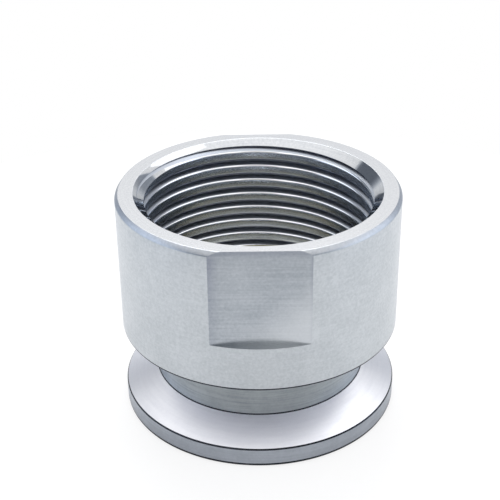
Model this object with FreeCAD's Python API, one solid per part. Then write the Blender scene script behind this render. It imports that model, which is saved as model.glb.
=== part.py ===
import FreeCAD, Part
import math
import os

# Adapter from a small clamp flange to a female pipe thread, turned from one bar of stainless steel.
# Millimetres. The origin is the centre of the flange's sealing face. +Z runs along the bore, up to
# the threaded mouth. The two wrench flats face -Y and +Y.

overall_height = 33.0

# Flange
flange_d = 40.0
rim_height = 2.85
clamp_face_slope = 27.5          # degrees above level
recess_d = 26.2                  # seat of the centring ring
recess_depth = 3.0

# Neck
gas_bore_d = 24.0
neck_wall = 3.25
neck_height = 9.75               # from the top of the rim to the underside of the body

# Female pipe thread, right-hand
thread_major_d = 33.249
threads_per_inch = 11
flank_angle = 27.5               # degrees, each flank from the plane square to the axis
crest_inset = 0.6245             # crests inside the major radius: bored wide, so they are broad
thread_start_angle = 279.0       # where the groove leaves the undercut, anticlockwise from +X
undercut_clearance = 0.1         # above, below and outside the start of the groove

# Body
body_wall = 3.375                # outside the thread's major diameter
web_height = 1.4                 # from the underside of the body to the floor of the socket
mouth_over_thread = 0.825        # top of the countersink outside the thread's major radius
countersink_angle = 45.0         # degrees, wall of the countersink from the axis
mouth_chamfer_across = 0.45
mouth_chamfer_down = 0.65
flat_depth = 1.15                # the wrench flats inside the body's round
flat_height = 13.8               # from the mouth down to the ledge

# Edges
edge_break = 0.15
overrun = 1.0                    # how far a cutting solid runs past the face that it opens
groove_overrun = 0.15            # the same for the groove's cutter, inside the bore

# Sizes that follow
flange_r = flange_d / 2
recess_r = recess_d / 2
gas_bore_r = gas_bore_d / 2
neck_r = gas_bore_r + neck_wall
cone_top_z = rim_height + (flange_r - neck_r) * math.tan(math.radians(clamp_face_slope))
body_bottom_z = rim_height + neck_height
floor_z = body_bottom_z + web_height

inch = 25.4
pitch = inch / threads_per_inch
flank_slope = math.tan(math.radians(flank_angle))
major_r = thread_major_d / 2
root_r = major_r + pitch / 12 / flank_slope      # a pointed tool: the flanks run on until they meet
minor_r = major_r - crest_inset
groove_half = (root_r - minor_r) * flank_slope
groove_start_z = floor_z + undercut_clearance + groove_half
undercut_top_z = groove_start_z + groove_half + undercut_clearance
undercut_r = root_r + undercut_clearance

body_r = major_r + body_wall
mouth_r = major_r + mouth_over_thread
countersink_spread = math.tan(math.radians(countersink_angle))
countersink_foot_z = overall_height - (mouth_r - minor_r) / countersink_spread
flat_y = body_r - flat_depth
ledge_z = overall_height - flat_height

quarter = 90                     # degrees: the groove and the wall of its bore are made in quarter turns


def at(r, z, degrees=0):
    """The point at a radius and height, turned from +X."""
    turn = math.radians(degrees)
    return FreeCAD.Vector(r * math.cos(turn), r * math.sin(turn), z)


def with_breaks(corners):
    """Points of a closed outline. Each corner is (r, z, cut): a cut takes that length off both sides."""
    points = []
    for index, (r, z, cut) in enumerate(corners):
        here = at(r, z)
        if cut == 0:
            points.append(here)
            continue
        for beside in (corners[index - 1], corners[(index + 1) % len(corners)]):
            along = at(beside[0], beside[1]) - here
            along.normalize()
            points.append(here + along * cut)
    return points + points[:1]


def turned_blank():
    """Flange, neck and body with the plain bores: one section swung round the axis."""
    corners = [
        (recess_r, 0, edge_break),
        (flange_r, 0, edge_break),
        (flange_r, rim_height, edge_break),
        (neck_r, cone_top_z, 0),
        (neck_r, body_bottom_z, 0),
        (body_r, body_bottom_z, edge_break),
        (body_r, overall_height - mouth_chamfer_down, 0),
        (body_r - mouth_chamfer_across, overall_height, 0),
        (gas_bore_r, overall_height, 0),
        (gas_bore_r, recess_depth, 0),
        (recess_r, recess_depth, 0),
    ]
    section = Part.Face(Part.makePolygon(with_breaks(corners)))
    return section.revolve(at(0, 0), FreeCAD.Vector(0, 0, 1), 360)


def socket_cutter():
    """The blind bore for the thread, the undercut at its floor and the countersunk mouth."""
    arcs = []
    for count in range(round(360 / quarter)):
        seam = thread_start_angle + quarter * (count + 0.5)
        ends = [at(minor_r, floor_z, seam), at(minor_r, floor_z, seam + quarter)]
        arcs.append(Part.Arc(ends[0], at(minor_r, floor_z, seam + quarter / 2), ends[1]).toShape())
    bore = Part.Face(Part.Wire(arcs)).extrude(FreeCAD.Vector(0, 0, overall_height - floor_z))
    undercut = Part.makeCylinder(undercut_r, undercut_top_z - floor_z, at(0, floor_z))
    rise = overall_height - countersink_foot_z + overrun
    top_r = minor_r + rise * countersink_spread
    countersink = Part.makeCone(minor_r, top_r, rise, at(0, countersink_foot_z))
    return bore.multiFuse([undercut, countersink])


def flat_cutters():
    """Two blocks that leave the wrench flats, each standing on its ledge."""
    reach = body_r - flat_y + overrun
    width = 2 * (body_r + overrun)
    height = flat_height + overrun
    front = Part.makeBox(width, reach, height, FreeCAD.Vector(-width / 2, -flat_y - reach, ledge_z))
    back = Part.makeBox(width, reach, height, FreeCAD.Vector(-width / 2, flat_y, ledge_z))
    return [front, back]


def groove_cutter():
    """The thread's groove from the undercut out through the mouth, joined from quarter turns."""
    inner_r = minor_r - groove_overrun
    inner_half = groove_half + groove_overrun * flank_slope
    profile = Part.makePolygon([
        at(inner_r, -inner_half),
        at(root_r, 0),
        at(inner_r, inner_half),
        at(inner_r, -inner_half),
    ])
    step = pitch * quarter / 360
    sweep = Part.BRepOffsetAPI.MakePipeShell(Part.Wire(Part.makeHelix(pitch, step, minor_r).Edges))
    sweep.setFrenetMode(True)
    sweep.add(profile)
    sweep.build()
    sweep.makeSolid()
    turn = sweep.shape()
    turns = []
    for count in range(math.ceil((overall_height + pitch / 2 - groove_start_z) / step)):
        placed = turn.copy()
        placed.rotate(at(0, 0), FreeCAD.Vector(0, 0, 1), thread_start_angle + count * quarter)
        placed.translate(at(0, groove_start_z + count * step))
        turns.append(placed)
    return turns[0].multiFuse(turns[1:])


def main():
    os.makedirs("parts", exist_ok=True)
    body = turned_blank().cut(socket_cutter()).cut(flat_cutters()).cut(groove_cutter())
    solid = body.Solids[0]
    print("solids", len(body.Solids), "valid", body.isValid(), "volume", round(body.Volume, 2), "mm3")
    print("faces", len(solid.Faces), "groove depth", round(root_r - minor_r, 3), "mm")
    solid.exportStep("parts/adapter_body.step")


main()
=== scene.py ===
import math

import bmesh
import bpy
from mathutils import Matrix, Vector


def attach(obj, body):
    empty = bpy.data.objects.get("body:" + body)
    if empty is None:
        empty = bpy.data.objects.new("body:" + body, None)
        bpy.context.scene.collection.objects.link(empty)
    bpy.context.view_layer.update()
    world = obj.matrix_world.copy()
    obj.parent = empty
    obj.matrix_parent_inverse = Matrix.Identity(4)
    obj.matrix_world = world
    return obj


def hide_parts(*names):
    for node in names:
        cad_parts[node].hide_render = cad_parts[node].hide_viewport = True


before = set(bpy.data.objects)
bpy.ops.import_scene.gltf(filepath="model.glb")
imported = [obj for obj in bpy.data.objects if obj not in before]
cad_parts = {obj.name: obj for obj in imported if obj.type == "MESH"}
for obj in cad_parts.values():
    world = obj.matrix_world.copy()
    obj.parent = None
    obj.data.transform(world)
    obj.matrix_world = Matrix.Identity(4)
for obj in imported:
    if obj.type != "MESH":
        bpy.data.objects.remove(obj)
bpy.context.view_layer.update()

# Clamp flange to pipe thread adapter, turned from one bar of stainless steel. Sizes are millimetres,
# the same as the solid's, and the mesh is scaled to metres at the end.

MM = 0.001
AXIS = (0, 0, 1)

overall_height = 33.0

# Flange
flange_r = 20.0
rim_height = 2.85
clamp_face_slope = math.radians(27.5)
recess_r = 13.1
recess_depth = 3.0

# Neck and the passage through it
gas_bore_r = 12.0
neck_wall = 3.25
neck_height = 9.75
neck_r = gas_bore_r + neck_wall
cone_top_z = rim_height + (flange_r - neck_r) * math.tan(clamp_face_slope)
body_bottom_z = rim_height + neck_height
web_height = 1.4
floor_z = body_bottom_z + web_height

# Thread
inch = 25.4
threads_per_inch = 11
pitch = inch / threads_per_inch
flank_slope = math.tan(math.radians(27.5))
major_r = 33.249 / 2
crest_inset = 0.6245
root_r = major_r + pitch / 12 / flank_slope
minor_r = major_r - crest_inset
groove_half = (root_r - minor_r) * flank_slope
undercut_clearance = 0.1
groove_start_z = floor_z + undercut_clearance + groove_half
groove_start_angle = math.radians(279.0)
undercut_top_z = groove_start_z + groove_half + undercut_clearance
undercut_r = root_r + undercut_clearance
pilot_r = 15.0                   # the bore before the thread is cut

# Body
body_wall = 3.375
mouth_over_thread = 0.825
mouth_chamfer_across = 0.45
mouth_chamfer_down = 0.65
flat_depth = 1.15
flat_height = 13.8
body_r = major_r + body_wall
mouth_r = major_r + mouth_over_thread
countersink_foot_z = overall_height - (mouth_r - minor_r)
flat_y = body_r - flat_depth
ledge_z = overall_height - flat_height

# Edge roundings. Each size is the length that the rounding takes off both sides.
rim_foot_round = 0.35
rim_top_round = 0.16
body_foot_round = 0.28
corner_round = 0.12
chamfer_top_round = 0.06
mouth_round = 0.04
recess_mouth_round = 0.15
inner_round = 0.1
flat_edge_round = 0.08
crest_top_round = 0.24
crest_foot_round = 0.22
root_round = 0.12
rim_foot_band = 0.5              # up to here the rim's foot is painted dark, as painted shade
body_foot_band = 0.35            # the same on the body
below_ledge = 0.25               # a ring under the ledges keeps the flats' cut off the long wall faces

turn_steps = 240
merge_reach = 0.003              # points of two turns of the tap that lie this near are one
overrun = 1.0                    # how far a cutting solid runs past the face that it opens


def new_object(bm, name):
    """A bmesh as an object in the scene."""
    mesh = bpy.data.meshes.new(name)
    bm.to_mesh(mesh)
    bm.free()
    piece = bpy.data.objects.new(name, mesh)
    bpy.context.scene.collection.objects.link(piece)
    return piece


def draw_outline(bm, corners, closed):
    """Edges through (r, z, rounding, segments), with each rounding cut by a bevel."""
    verts = [bm.verts.new((r, 0, z)) for r, z, cut, segments in corners]
    ends = verts[1:] + verts[:1] if closed else verts[1:]
    for pair in zip(verts, ends):
        bm.edges.new(pair)
    for vert, (r, z, cut, segments) in zip(verts, corners):
        if cut:
            bmesh.ops.bevel(bm, geom=[vert], offset=cut, offset_type="OFFSET", segments=segments,
                            profile=0.5, affect="VERTICES", clamp_overlap=False, material=-1)


def turned_blank():
    """The bar as it leaves the first turning: flange, neck, body and plain bores."""
    bm = bmesh.new()
    draw_outline(bm, [
        (recess_r, 0, recess_mouth_round, 3),
        (flange_r, 0, rim_foot_round, 5),
        (flange_r, rim_foot_band, 0, 0),
        (flange_r, rim_height, rim_top_round, 4),
        (neck_r, cone_top_z, corner_round, 3),
        (neck_r, body_bottom_z, corner_round, 3),
        (body_r, body_bottom_z, body_foot_round, 5),
        (body_r, body_bottom_z + body_foot_band, 0, 0),
        (body_r, ledge_z - below_ledge, 0, 0),
        (body_r, overall_height - mouth_chamfer_down, corner_round, 3),
        (body_r - mouth_chamfer_across, overall_height, chamfer_top_round, 3),
        (mouth_r, overall_height, mouth_round, 2),
        (pilot_r, overall_height - (mouth_r - pilot_r), 0, 0),
        (pilot_r, undercut_top_z, 0, 0),
        (undercut_r, undercut_top_z, 0, 0),
        (undercut_r, floor_z, inner_round, 3),
        (gas_bore_r, floor_z, inner_round, 3),
        (gas_bore_r, recess_depth, inner_round, 3),
        (recess_r, recess_depth, 0, 0),
    ], True)
    bmesh.ops.spin(bm, geom=bm.verts[:] + bm.edges[:], cent=(0, 0, 0), axis=AXIS,
                   angle=2 * math.pi, steps=turn_steps, use_merge=True)
    bmesh.ops.recalc_face_normals(bm, faces=bm.faces[:])
    return new_object(bm, "turned_blank")


def thread_tap():
    """What the threading takes out, as one rod with the groove's form standing on it."""
    bm = bmesh.new()
    middle = groove_start_z - pitch      # a turn early, so that the rod's foot can be cut level
    low = middle - pitch / 2
    draw_outline(bm, [
        (minor_r, low, 0, 0),
        (minor_r, middle - groove_half, crest_top_round, 4),
        (root_r, middle, root_round, 4),
        (minor_r, middle + groove_half, crest_foot_round, 4),
        (minor_r, low + pitch, 0, 0),
    ], False)
    bmesh.ops.rotate(bm, verts=bm.verts[:], cent=(0, 0, 0),
                     matrix=Matrix.Rotation(groove_start_angle, 3, "Z"))
    bmesh.ops.spin(bm, geom=bm.verts[:] + bm.edges[:], cent=(0, 0, 0), axis=AXIS,
                   dvec=(0, 0, pitch / turn_steps), angle=2 * math.pi, steps=turn_steps)
    one_turn = bm.verts[:] + bm.edges[:] + bm.faces[:]
    rod_foot_z = floor_z + 0.4
    rod_top_z = overall_height + 0.8
    for turn in range(1, math.ceil((overall_height + overrun - low) / pitch)):
        copy = bmesh.ops.duplicate(bm, geom=one_turn)["geom"]
        verts = [part for part in copy if isinstance(part, bmesh.types.BMVert)]
        bmesh.ops.translate(bm, verts=verts, vec=(0, 0, turn * pitch))
    bmesh.ops.remove_doubles(bm, verts=bm.verts[:], dist=merge_reach)
    for height, outward in ((rod_foot_z, -1), (rod_top_z, 1)):
        cut = bmesh.ops.bisect_plane(bm, geom=bm.verts[:] + bm.edges[:] + bm.faces[:], dist=1e-5,
                                     plane_co=(0, 0, height), plane_no=(0, 0, outward), clear_outer=True)
        rim = [part for part in cut["geom_cut"] if isinstance(part, bmesh.types.BMEdge)]
        bmesh.ops.contextual_create(bm, geom=rim)
    bmesh.ops.recalc_face_normals(bm, faces=bm.faces[:])
    return new_object(bm, "thread_tap")


def flat_blocks():
    """The metal that the mill takes off for the two wrench flats."""
    bm = bmesh.new()
    depth = 4
    height = 16
    for side in (-1, 1):
        block = bmesh.ops.create_cube(bm, size=1)["verts"]
        bmesh.ops.scale(bm, verts=block, vec=(2 * body_r + 4 * overrun, depth, height))
        bmesh.ops.translate(bm, verts=block, vec=(0, side * (flat_y + depth / 2), ledge_z + height / 2))
    return new_object(bm, "flat_blocks")


def cut_away(piece, cutter):
    """Takes the cutter's solid out of the piece's."""
    cut = piece.modifiers.new("cut", "BOOLEAN")
    cut.operation = "DIFFERENCE"
    cut.solver = "EXACT"
    cut.object = cutter
    graph = bpy.context.evaluated_depsgraph_get()
    piece.data = bpy.data.meshes.new_from_object(piece.evaluated_get(graph))
    piece.modifiers.clear()
    bpy.data.objects.remove(cutter)


def near(value, target, reach):
    return abs(value - target) < reach


def soften_flats(piece):
    """Rounds the edges that the mill left round the flats."""
    bm = bmesh.new()
    bm.from_mesh(piece.data)
    hair = 0.002
    smallest_turn = math.radians(8)
    sharp = []
    for edge in bm.edges:
        if len(edge.link_faces) != 2 or edge.calc_face_angle() <= smallest_turn:
            continue
        on_flat = all(near(abs(vert.co.y), flat_y, hair) for vert in edge.verts)
        on_ledge = all(near(vert.co.z, ledge_z, hair) for vert in edge.verts)
        if (on_flat or on_ledge) and max(vert.co.z for vert in edge.verts) > ledge_z - below_ledge:
            sharp.append(edge)
    bmesh.ops.bevel(bm, geom=sharp, offset=flat_edge_round, offset_type="OFFSET", segments=3, profile=0.5,
                    affect="EDGES", clamp_overlap=True, material=-1)
    bm.to_mesh(piece.data)
    bm.free()


adapter = turned_blank()
cut_away(adapter, flat_blocks())
soften_flats(adapter)
cut_away(adapter, thread_tap())
adapter.name = "adapter_body_turned"
adapter.data.name = adapter.name


# Materials

def srgb(code):
    """A hex colour as linear red, green, blue and 1."""
    values = [int(code[i:i + 2], 16) / 255 for i in (1, 3, 5)]
    return [v / 12.92 if v <= 0.04045 else ((v + 0.055) / 1.055) ** 2.4 for v in values] + [1]


def new_tree(owner):
    """An empty node tree for a material or a world."""
    owner.use_nodes = True
    owner.node_tree.nodes.clear()
    return owner.node_tree


def add(tree, kind, links=(), **settings):
    """A node with its settings. links gives its inputs, in order or by name, a value or what feeds them.

    A node that feeds an input does so from its first output.
    """
    node = tree.nodes.new(kind)
    for name, value in settings.items():
        setattr(node, name, value)
    for name, value in links.items() if isinstance(links, dict) else enumerate(links):
        if isinstance(value, bpy.types.Node):
            value = value.outputs[0]
        if isinstance(value, bpy.types.NodeSocket):
            tree.links.new(value, node.inputs[name])
        else:
            node.inputs[name].default_value = value
    return node


# Short names for the kinds of node that are used most. A step goes from one level to another: its
# inputs are the value, where it starts, where it ends, the level before and the level after.
MATH = "ShaderNodeMath"
STEP = "ShaderNodeMapRange"
MIX = "ShaderNodeMix"
NOISE = "ShaderNodeTexNoise"
SOFT = "SMOOTHSTEP"

# Sizes of the patterns, in millimetres. The real tool marks lie about 0.1 mm apart and the real
# speckle is finer still. Both are too fine to show in the render, so they are drawn coarser.
wall_marks = (6.67, 0.2)         # how long a mark runs round the axis, and how far apart marks lie
rim_marks = (8.33, 0.2)
face_marks = (8.33, 0.25)
speckle_size = 0.385
cloud_size = 3.85                # the patchy sheen that handling leaves
border_wave = 3.03                # the waviness of the flats' darker borders


def tool_marks(tree, place, marks, flat):
    """Noise drawn out along the cut: round the axis, or level along a flat."""
    along, across = (1 / (size * MM) for size in marks)
    if flat:
        spot = add(tree, "ShaderNodeMapping", {"Vector": place, "Scale": (along, along, across)})
    else:
        ring = add(tree, "ShaderNodeMapping", {"Vector": place, "Scale": (1, 1, 0)})
        radius = add(tree, "ShaderNodeVectorMath", [ring], operation="LENGTH").outputs["Value"]
        height = add(tree, "ShaderNodeSeparateXYZ", [place]).outputs["Z"]
        outline_way = add(tree, MATH, [radius, height], operation="ADD")
        spread = add(tree, "ShaderNodeMapping", {"Vector": ring, "Scale": (along, along, 0)})
        lift = add(tree, MATH, [outline_way, across], operation="MULTIPLY")
        raised = add(tree, "ShaderNodeCombineXYZ", {"Z": lift})
        spot = add(tree, "ShaderNodeVectorMath", [spread, raised], operation="ADD")
    return add(tree, NOISE, {"Vector": spot, "Scale": 1.0, "Detail": 3.0, "Roughness": 0.6})


def metal(name, dark, light, roughness, spread, marks, depth,
          speckle=0.5, cloud=0.0, flat=False, retone=None):
    """Bare machined steel: tool marks and a speckle in colour, gloss and relief, and clouds in colour.

    depth is the relief in millimetres, spread how far the gloss strays from the roughness, speckle and
    cloud the shares of those two patterns.
    """
    material = bpy.data.materials.new(name)
    tree = new_tree(material)
    place = add(tree, "ShaderNodeTexCoord").outputs["Object"]
    even = {"Vector": place, "Detail": 2.0, "Roughness": 0.6}
    dots = add(tree, NOISE, {**even, "Scale": 1 / (speckle_size * MM)})
    patches = add(tree, NOISE, {**even, "Scale": 1 / (cloud_size * MM)})
    blend = add(tree, MIX, {"Factor": speckle, "A": tool_marks(tree, place, marks, flat), "B": dots})
    cloudy = add(tree, MIX, {"Factor": cloud, "A": blend, "B": patches})
    tone = add(tree, STEP, [cloudy, 0.38, 0.62, 0.0, 1.0])
    paint = add(tree, MIX, {"Factor": tone, "A": srgb(dark), "B": srgb(light)},
                data_type="RGBA").outputs["Result"]
    if retone:
        paint = retone(tree, place, paint)
    gloss = add(tree, STEP, [blend, 0.3, 0.7, roughness + spread, roughness - spread])
    relief = add(tree, "ShaderNodeBump", {"Height": blend, "Strength": 1.0, "Distance": depth * MM})
    shader = add(tree, "ShaderNodeBsdfPrincipled", {"Base Color": paint, "Metallic": 1.0, "Roughness": gloss,
                                                    "Normal": relief})
    add(tree, "ShaderNodeOutputMaterial", {"Surface": shader})
    return material


def flat_border_tones(tree, place, paint):
    """The flats are darker blue-grey along their upper, left and right borders, and paler in their lower
    right corner.
    """
    spot = add(tree, "ShaderNodeSeparateXYZ", [place])
    across, height = spot.outputs["X"], spot.outputs["Z"]
    noise = add(tree, NOISE, {"Vector": place, "Scale": 1 / (border_wave * MM), "Detail": 2.0,
                              "Roughness": 0.6})
    wave = add(tree, MATH, [noise, 1.6 * MM], operation="MULTIPLY")
    wavy_across = add(tree, MATH, [across, wave], operation="ADD")
    left = add(tree, STEP, [wavy_across, -6.4 * MM, -4.0 * MM, 1.0, 0.0], interpolation_type=SOFT)
    right = add(tree, STEP, [across, 6.2 * MM, 6.7 * MM, 0.0, 0.6], interpolation_type=SOFT)
    upper = add(tree, STEP, [height, 31.6 * MM, overall_height * MM, 0.0, 0.7], interpolation_type=SOFT)
    fade = add(tree, STEP, [height, 20 * MM, 32 * MM, 0.35, 1.0], interpolation_type=SOFT)
    left_fading = add(tree, MATH, [left, fade], operation="MULTIPLY")
    other_borders = add(tree, MATH, [right, upper], operation="MAXIMUM")
    border = add(tree, MATH, [left_fading, other_borders], operation="MAXIMUM")
    share = add(tree, MATH, [border, 0.5], operation="MULTIPLY")
    dull = add(tree, MIX, {"Factor": share, "A": paint, "B": srgb("#787C90")}, data_type="RGBA")
    slant = add(tree, MATH, [across, height], operation="SUBTRACT")
    wide_wave = add(tree, MATH, [wave, 2.0], operation="MULTIPLY")
    wavy_slant = add(tree, MATH, [slant, wide_wave], operation="ADD")
    corner = add(tree, STEP, [wavy_slant, -23 * MM, -14.5 * MM, 0.0, 0.55], interpolation_type=SOFT)
    return add(tree, MIX, {"Factor": corner, "A": dull.outputs["Result"], "B": srgb("#DDE0E2")},
               data_type="RGBA").outputs["Result"]


# Every surface is bare stainless steel, and differs by the cut that made it. Some colours also carry painted
# shade or painted light, as noted at each.
finishes = {
    # Body, turned and rubbed down: pale satin grey with a fine mottle, reflections only as soft bands.
    "wall": metal("stainless_satin_turned", "#B9BEC1", "#C9CDD0", 0.32, 0.04, wall_marks, 0.0015,
                  speckle=0.7, cloud=0.25),
    # Wrench flats, milled: darker than the wall, with level brush lines and wavy darker blue-grey borders.
    "flat": metal("stainless_milled_flat", "#A4AAB0", "#BABFC4", 0.34, 0.05, face_marks, 0.002,
                  cloud=0.25, flat=True, retone=flat_border_tones),
    # Rim of the flange, turned: mid grey, a little clouded, and darker than the wall: partly the real
    # shadowed floor that it mirrors, partly painted shade in its colour.
    "rim": metal("stainless_turned_rim_painted_shade", "#ADB2B9", "#BDC2C9", 0.30, 0.03, rim_marks, 0.001,
                 speckle=0.4, cloud=0.3),
    # Neck, turned with a coarse feed: rings can be counted. It is the darkest of the outer faces: the real
    # shade under the body's overhang, deepened by painted shade in its colour.
    "neck": metal("stainless_rough_turned_neck_painted_shade", "#92989B", "#ABB0B2", 0.34, 0.05, face_marks, 0.003,
                  speckle=0.3, cloud=0.3),
    # Underside of the body, faced and not polished: dull, and painted pale as painted light, so that this
    # shaded face still shows light in the cone's reflection.
    "underside": metal("stainless_rough_faced_underside_painted_light", "#E6E7EC", "#EEEFF3", 0.6, 0.05, face_marks, 0.001,
                       speckle=0.3),
    # Sloped back of the flange, which the clamp slides on: the palest satin, with broad soft highlights.
    "cone": metal("stainless_satin_clamp_face", "#E0E1E7", "#E8E9EE", 0.36, 0.03, face_marks, 0.0005,
                  speckle=0.3, cloud=0.3),
    # Mouth, faced with a fine cut: pale and glossy, it mirrors the tent as a nearly even light grey.
    "face": metal("stainless_faced_mouth", "#D0D2D6", "#D9DBDE", 0.17, 0.03, face_marks, 0.0005),
    # Chamfer outside the mouth, turned: a thin satin line round the edge.
    "chamfer": metal("stainless_turned_chamfer", "#B6BABF", "#C4C7CC", 0.36, 0.04, face_marks, 0.0015,
                     speckle=0.6),
    # Countersink, fine turned: nearly a mirror, with hard borders between light and dark.
    "countersink": metal("stainless_fine_turned_countersink", "#C2C5C9", "#D0D2D5", 0.07, 0.02, face_marks,
                         0.0003),
    # Crests of the thread, bored: bluish satin bands.
    "land": metal("stainless_thread_crest", "#C2CBD8", "#CAD2DD", 0.22, 0.02, wall_marks, 0.0, speckle=0.3),
    # Their upper edges, burnished smooth: thin bright lines, the roundings' real highlights brightened by a
    # near-white colour as a painted highlight.
    "crest_edge": metal("stainless_thread_crest_edge_painted_highlight", "#F0F1F3", "#F6F7F8", 0.05, 0.02, wall_marks, 0.0,
                        speckle=0.3),
    # Lower flanks, cut by the threading tool: grey, soft.
    "flank": metal("stainless_thread_lower_flank", "#A8AEB8", "#B0B5BE", 0.30, 0.02, wall_marks, 0.0,
                   speckle=0.3),
    # Upper flanks, which look down into the socket: dark navy grey, painted shade that darkens what the
    # grooves mirror.
    "upper_flank": metal("stainless_thread_upper_flank_painted_shade", "#6E7383", "#767B8B", 0.25, 0.02, wall_marks, 0.0,
                         speckle=0.3),
    # Gas passage and the socket's floor, bored: glossy, with a slightly warm tone.
    "bore": metal("stainless_bored_passage", "#D2CEBE", "#DAD6C8", 0.20, 0.02, wall_marks, 0.0003,
                  speckle=0.3),
    # Broken edges and the foot bands beside them: thin dark lines of painted shade, for the contact shadow
    # under the feet, the shade in the neck's corner and the dark reflection along the rim's top edge.
    "edge": metal("stainless_edge_painted_shade", "#2E3036", "#3C3F46", 0.25, 0.03, wall_marks, 0.0003,
                  speckle=0.3),
}
slots = list(finishes)
for slot in slots:
    adapter.data.materials.append(finishes[slot])

level = 0.99                     # above this a face's normal counts as upright
touch = 0.02                     # how far a face's centre may lie from the surface that it belongs to


def finish_of(face):
    """Which cut made this face."""
    spot = face.center
    r = math.hypot(spot.x, spot.y)
    up = face.normal.z
    on_flat = near(abs(spot.y), flat_y, touch) and abs(face.normal.y) > 0.9 and spot.z > ledge_z - 0.05
    on_ledge = near(spot.z, ledge_z, 0.05) and up > 0.5
    if on_flat or on_ledge:
        return "flat"
    rim_top = near(r, flange_r, 0.2) and near(spot.z, rim_height, 0.2) and touch < abs(up) < level
    rim_foot = near(r, flange_r, rim_foot_round + 0.01) and spot.z < rim_foot_band and up > -level
    body_foot = near(r, body_r, body_foot_round + touch) and near(spot.z, body_bottom_z, body_foot_band)
    neck_foot = near(r, neck_r, corner_round + 0.01) and near(spot.z, cone_top_z, corner_round + 0.01)
    # These edges and foot bands take the dark edge finish: painted shade for contact shadow, corner shade
    # and the rim top's dark reflection.
    if rim_top or rim_foot or (body_foot and up > -level) or neck_foot:
        return "edge"
    if spot.z < rim_height and r > flange_r - 0.1:
        return "rim"
    if near(r, neck_r, 0.1) and cone_top_z < spot.z < body_bottom_z:
        return "neck"
    if rim_height - 0.13 < spot.z < cone_top_z + 0.05 and up > 0.5 and r > neck_r:
        return "cone"
    if r < mouth_r and spot.z > floor_z:
        on_slope = near(up, math.sqrt(0.5), 0.05)
        if spot.z > countersink_foot_z - 0.1 and (on_slope or r > mouth_r - 0.06):
            return "countersink"
        if undercut_top_z < spot.z < overall_height - 0.1:
            if near(r, minor_r, touch):
                return "land"
            if near(r, minor_r, 0.12) and up > -0.1:
                return "crest_edge"
            return "upper_flank" if up < -0.1 else "flank"
        return "bore"
    if r < neck_r and spot.z > 0.1:
        return "bore"
    if r > neck_r and near(spot.z, body_bottom_z, touch):
        return "underside"
    if spot.z > overall_height - mouth_chamfer_down and r < body_r - touch:
        return "face" if up > 0.999 else "chamfer"
    return "wall"


for face in adapter.data.polygons:
    face.material_index = slots.index(finish_of(face))


def part_from_roundings(mesh, planes):
    """Keeps the true normals of the plane cuts where a small rounding meets them."""
    bm = bmesh.new()
    bm.from_mesh(mesh)
    for edge in bm.edges:
        plane = [slots[face.material_index] in planes for face in edge.link_faces]
        if any(plane) and not all(plane):
            edge.smooth = False
    bm.to_mesh(mesh)
    bm.free()


adapter.data.transform(Matrix.Scale(MM, 4))
adapter.data.shade_smooth()
adapter.data.set_sharp_from_angle(angle=math.radians(32))      # the roundings turn less than this
part_from_roundings(adapter.data, ("face", "flat", "countersink"))
weighted = adapter.modifiers.new("even_normals", "WEIGHTED_NORMAL")
weighted.keep_sharp = True
weighted.weight = 100
weighted.thresh = 0.01 * MM * MM                             # the faces' areas are square metres

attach(adapter, "root")
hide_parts("adapter_body")


# Studio

scene = bpy.context.scene
scene.view_settings.view_transform = "Standard"

# The camera's place, aim and lens were fitted to the photo's edges together with the sizes.
camera_at = Vector((-1.085, -142.309, 100.068)) * MM
yaw, pitch_down, roll = (math.radians(a) for a in (-0.0691, -28.433, -0.7274))
forward = Vector((math.sin(yaw) * math.cos(pitch_down), math.cos(yaw) * math.cos(pitch_down),
                  math.sin(pitch_down)))
sideways = Vector((math.cos(yaw), -math.sin(yaw), 0))
upright = sideways.cross(forward)
right = sideways * math.cos(roll) + upright * math.sin(roll)
up = upright * math.cos(roll) - sideways * math.sin(roll)
lens = bpy.data.cameras.new("photo_camera")
lens.sensor_width = 36
lens.lens = 81.31
lens.clip_start = 0.01
camera = bpy.data.objects.new("photo_camera", lens)
camera.matrix_world = Matrix((right, up, -forward)).transposed().to_4x4()
camera.location = camera_at
scene.collection.objects.link(camera)
scene.camera = camera

# A tent of white cloth: bright above an edge that hangs highest on the left and lowest at the back,
# blue-grey room light below the edge, and dimmer where the camera looks in. way is the direction that
# a ray looks in, and its parts run from -1 to 1.
world = bpy.data.worlds.new("light_tent")
scene.world = world
tree = new_tree(world)
way = add(tree, "ShaderNodeTexCoord").outputs["Generated"]
parts = add(tree, "ShaderNodeSeparateXYZ", [way])
x, y, rise = parts.outputs["X"], parts.outputs["Y"], parts.outputs["Z"]

# The room: windows at the far left and far right, dim beside them, even in front and behind.
dim_left = add(tree, STEP, [rise, 0.0, 0.22, 1.1, 0.25], interpolation_type=SOFT)
near_left = add(tree, STEP, [x, -0.60, -0.45, dim_left, 1.0], interpolation_type=SOFT)
far_left = add(tree, STEP, [x, -0.90, -0.80, 1.8, dim_left], interpolation_type=SOFT)
left_room = add(tree, MATH, [near_left, far_left], operation="MAXIMUM")
dim_right = add(tree, STEP, [rise, 0.0, 0.22, 1.1, 0.5], interpolation_type=SOFT)
near_right = add(tree, STEP, [x, 0.3, 0.55, 1.0, dim_right], interpolation_type=SOFT)
far_right = add(tree, STEP, [x, 0.80, 0.90, dim_right, 2.0], interpolation_type=SOFT)
right_room = add(tree, MATH, [near_right, far_right], operation="MAXIMUM")
room = add(tree, MATH, [left_room, right_room], operation="MULTIPLY")
front_room = add(tree, STEP, [y, -0.95, -0.6, 0.6, 1.0], interpolation_type=SOFT)
near_floor = add(tree, STEP, [rise, -0.05, 0.2, 0.6, 1.0], interpolation_type=SOFT)
whole_room = add(tree, MATH, [room, front_room], operation="MULTIPLY")
below = add(tree, MATH, [whole_room, near_floor], operation="MULTIPLY")

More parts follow.
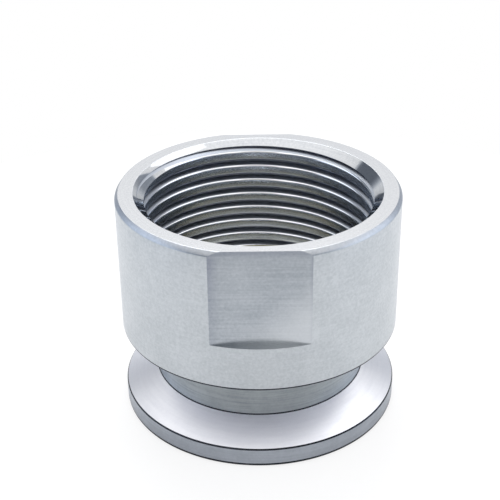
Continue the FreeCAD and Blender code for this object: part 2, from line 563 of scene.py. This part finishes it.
# The cloth: its edge is 0.37 up, and higher at both sides.
left_edge = add(tree, STEP, [x, -0.75, -0.35, 0.16, 0.0], interpolation_type=SOFT)
right_edge = add(tree, STEP, [x, 0.35, 0.65, 0.0, 0.05], interpolation_type=SOFT)
side_edges = add(tree, MATH, [left_edge, right_edge], operation="ADD")
edge = add(tree, MATH, [side_edges, 0.37], operation="ADD")
over_edge = add(tree, MATH, [rise, edge], operation="SUBTRACT")
cloth = add(tree, STEP, [over_edge, -0.02, 0.02, 0.0, 1.0], interpolation_type=SOFT)
above = add(tree, STEP, [rise, 0.4, 0.9, 1.05, 1.35], interpolation_type=SOFT)
tent_light = add(tree, MIX, {"Factor": cloth, "A": below, "B": above})

# The camera's port, dimmest within 11 degrees of the camera and gone at 24 degrees.
port_rim, port_middle = (math.cos(math.radians(angle)) for angle in (24, 11))
to_camera = add(tree, "ShaderNodeVectorMath", [way, camera_at.normalized()],
                operation="DOT_PRODUCT").outputs["Value"]
port = add(tree, STEP, [to_camera, port_rim, port_middle, 1.0, 0.4], interpolation_type=SOFT)
strength = add(tree, MATH, [tent_light, port], operation="MULTIPLY")

# The cloth and the middle of the back are neutral, the rest of the room is blue-grey.
back_left = add(tree, STEP, [x, -0.60, -0.45, 0.0, 0.8], interpolation_type=SOFT)
back_right = add(tree, STEP, [x, 0.35, 0.6, 0.8, 0.2], interpolation_type=SOFT)
back = add(tree, MATH, [back_left, back_right], operation="MINIMUM")
neutral = add(tree, MATH, [cloth, back], operation="MAXIMUM")
tint = add(tree, MIX, {"Factor": neutral, "A": srgb("#D0DBEC"), "B": srgb("#FDFDFD")},
           data_type="RGBA").outputs["Result"]
tent = add(tree, "ShaderNodeBackground", {"Color": tint, "Strength": strength})
plain = add(tree, "ShaderNodeBackground", {"Color": (1, 1, 1, 1), "Strength": 1.0})
shown = add(tree, "ShaderNodeLightPath").outputs["Is Camera Ray"]
both = add(tree, "ShaderNodeMixShader", [shown, tent, plain])
add(tree, "ShaderNodeOutputWorld", {"Surface": both})


def area_lamp(name, place, target, side, watts):
    """A soft square lamp aimed at a point. Its place and side are in metres."""
    light = bpy.data.lights.new(name, "AREA")
    light.size = side
    light.energy = watts
    lamp = bpy.data.objects.new(name, light)
    lamp.location = place
    lamp.rotation_euler = (Vector(target) - Vector(place)).to_track_quat("-Z", "Y").to_euler()
    scene.collection.objects.link(lamp)


adapter_middle = (0, 0, 0.01)
area_lamp("back_softbox", (-0.02, 0.20, 0.32), adapter_middle, 0.2, 0.6)
area_lamp("right_softbox", (0.20, 0.10, 0.30), adapter_middle, 0.2, 0.08)

# The floor lies just clear of the sealing face that stands on it.
floor_gap = 0.02 * MM
bm = bmesh.new()
bmesh.ops.create_circle(bm, cap_ends=True, segments=96, radius=0.10)
bmesh.ops.translate(bm, verts=bm.verts[:], vec=(0, 0, -floor_gap))
table = new_object(bm, "table")

# White paper: the camera sees most of it as plain white, under the part's soft shadow.
paper = bpy.data.materials.new("white_paper_sweep")
tree = new_tree(paper)
shade = add(tree, "ShaderNodeBsdfDiffuse", {"Color": srgb("#E2E2E3")})
glow = add(tree, "ShaderNodeEmission", {"Color": (1, 1, 1, 1), "Strength": 1.1})
light_path = add(tree, "ShaderNodeLightPath").outputs
share = add(tree, MATH, [light_path["Is Camera Ray"], 0.7], operation="MULTIPLY")
topside = add(tree, "ShaderNodeMixShader", [share, shade, glow])
# From below the floor is clear, and the sealing face that stands on it isn't in the dark.
under = add(tree, "ShaderNodeNewGeometry").outputs["Backfacing"]
touching = add(tree, MATH, [light_path["Ray Length"], 3 * floor_gap], operation="LESS_THAN")
clear = add(tree, MATH, [under, touching], operation="MAXIMUM")
nothing = add(tree, "ShaderNodeBsdfTransparent")
add(tree, "ShaderNodeOutputMaterial", [add(tree, "ShaderNodeMixShader", [clear, topside, nothing])])
table.data.materials.append(paper)
